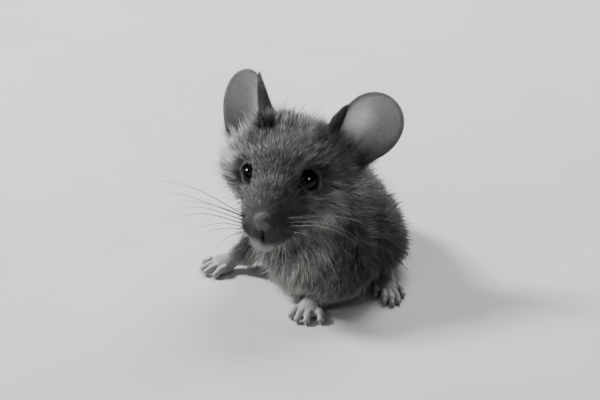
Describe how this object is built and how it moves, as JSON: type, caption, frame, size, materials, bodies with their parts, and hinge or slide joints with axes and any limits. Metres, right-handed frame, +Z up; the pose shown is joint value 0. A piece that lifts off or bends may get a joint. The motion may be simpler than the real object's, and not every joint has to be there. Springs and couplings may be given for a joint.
{
  "type": "mouse",
  "caption": "Young house mouse with a grey coat, large round ears and a curled tail, standing with its head raised.",
  "frame": {"origin": "middle of the footprint, on the floor that the mouse stands on", "axes": "+Y from the nose towards the tail along the longest extent, +Z up, +X to the mouse's own left"},
  "size_m": [0.0486, 0.073, 0.032],
  "materials": {
    "coat": "soft fur, dull",
    "ear_skin": "thin bare skin, satin",
    "paw_skin": "bare skin, satin",
    "nose_skin": "moist skin, satin",
    "tail_skin": "ringed skin, satin",
    "eye": "wet, mirror-smooth"
  },
  "bodies": {
    "root": {"head": "coat", "nose": "nose_skin", "eye_left": "eye", "eye_right": "eye", "whiskers_left": "coat", "whiskers_right": "coat", "ear_left": "ear_skin", "ear_right": "ear_skin", "neck": "coat", "trunk": "coat", "foreleg_left": "coat", "foreleg_right": "coat", "forepaw_left": "paw_skin", "forepaw_right": "paw_skin", "hindleg_left": "coat", "hindleg_right": "coat", "hindfoot_left": "paw_skin", "hindfoot_right": "paw_skin", "tail_root": "tail_skin", "tail_middle": "tail_skin", "tail_tip": "tail_skin"}
  },
  "joints": []
}
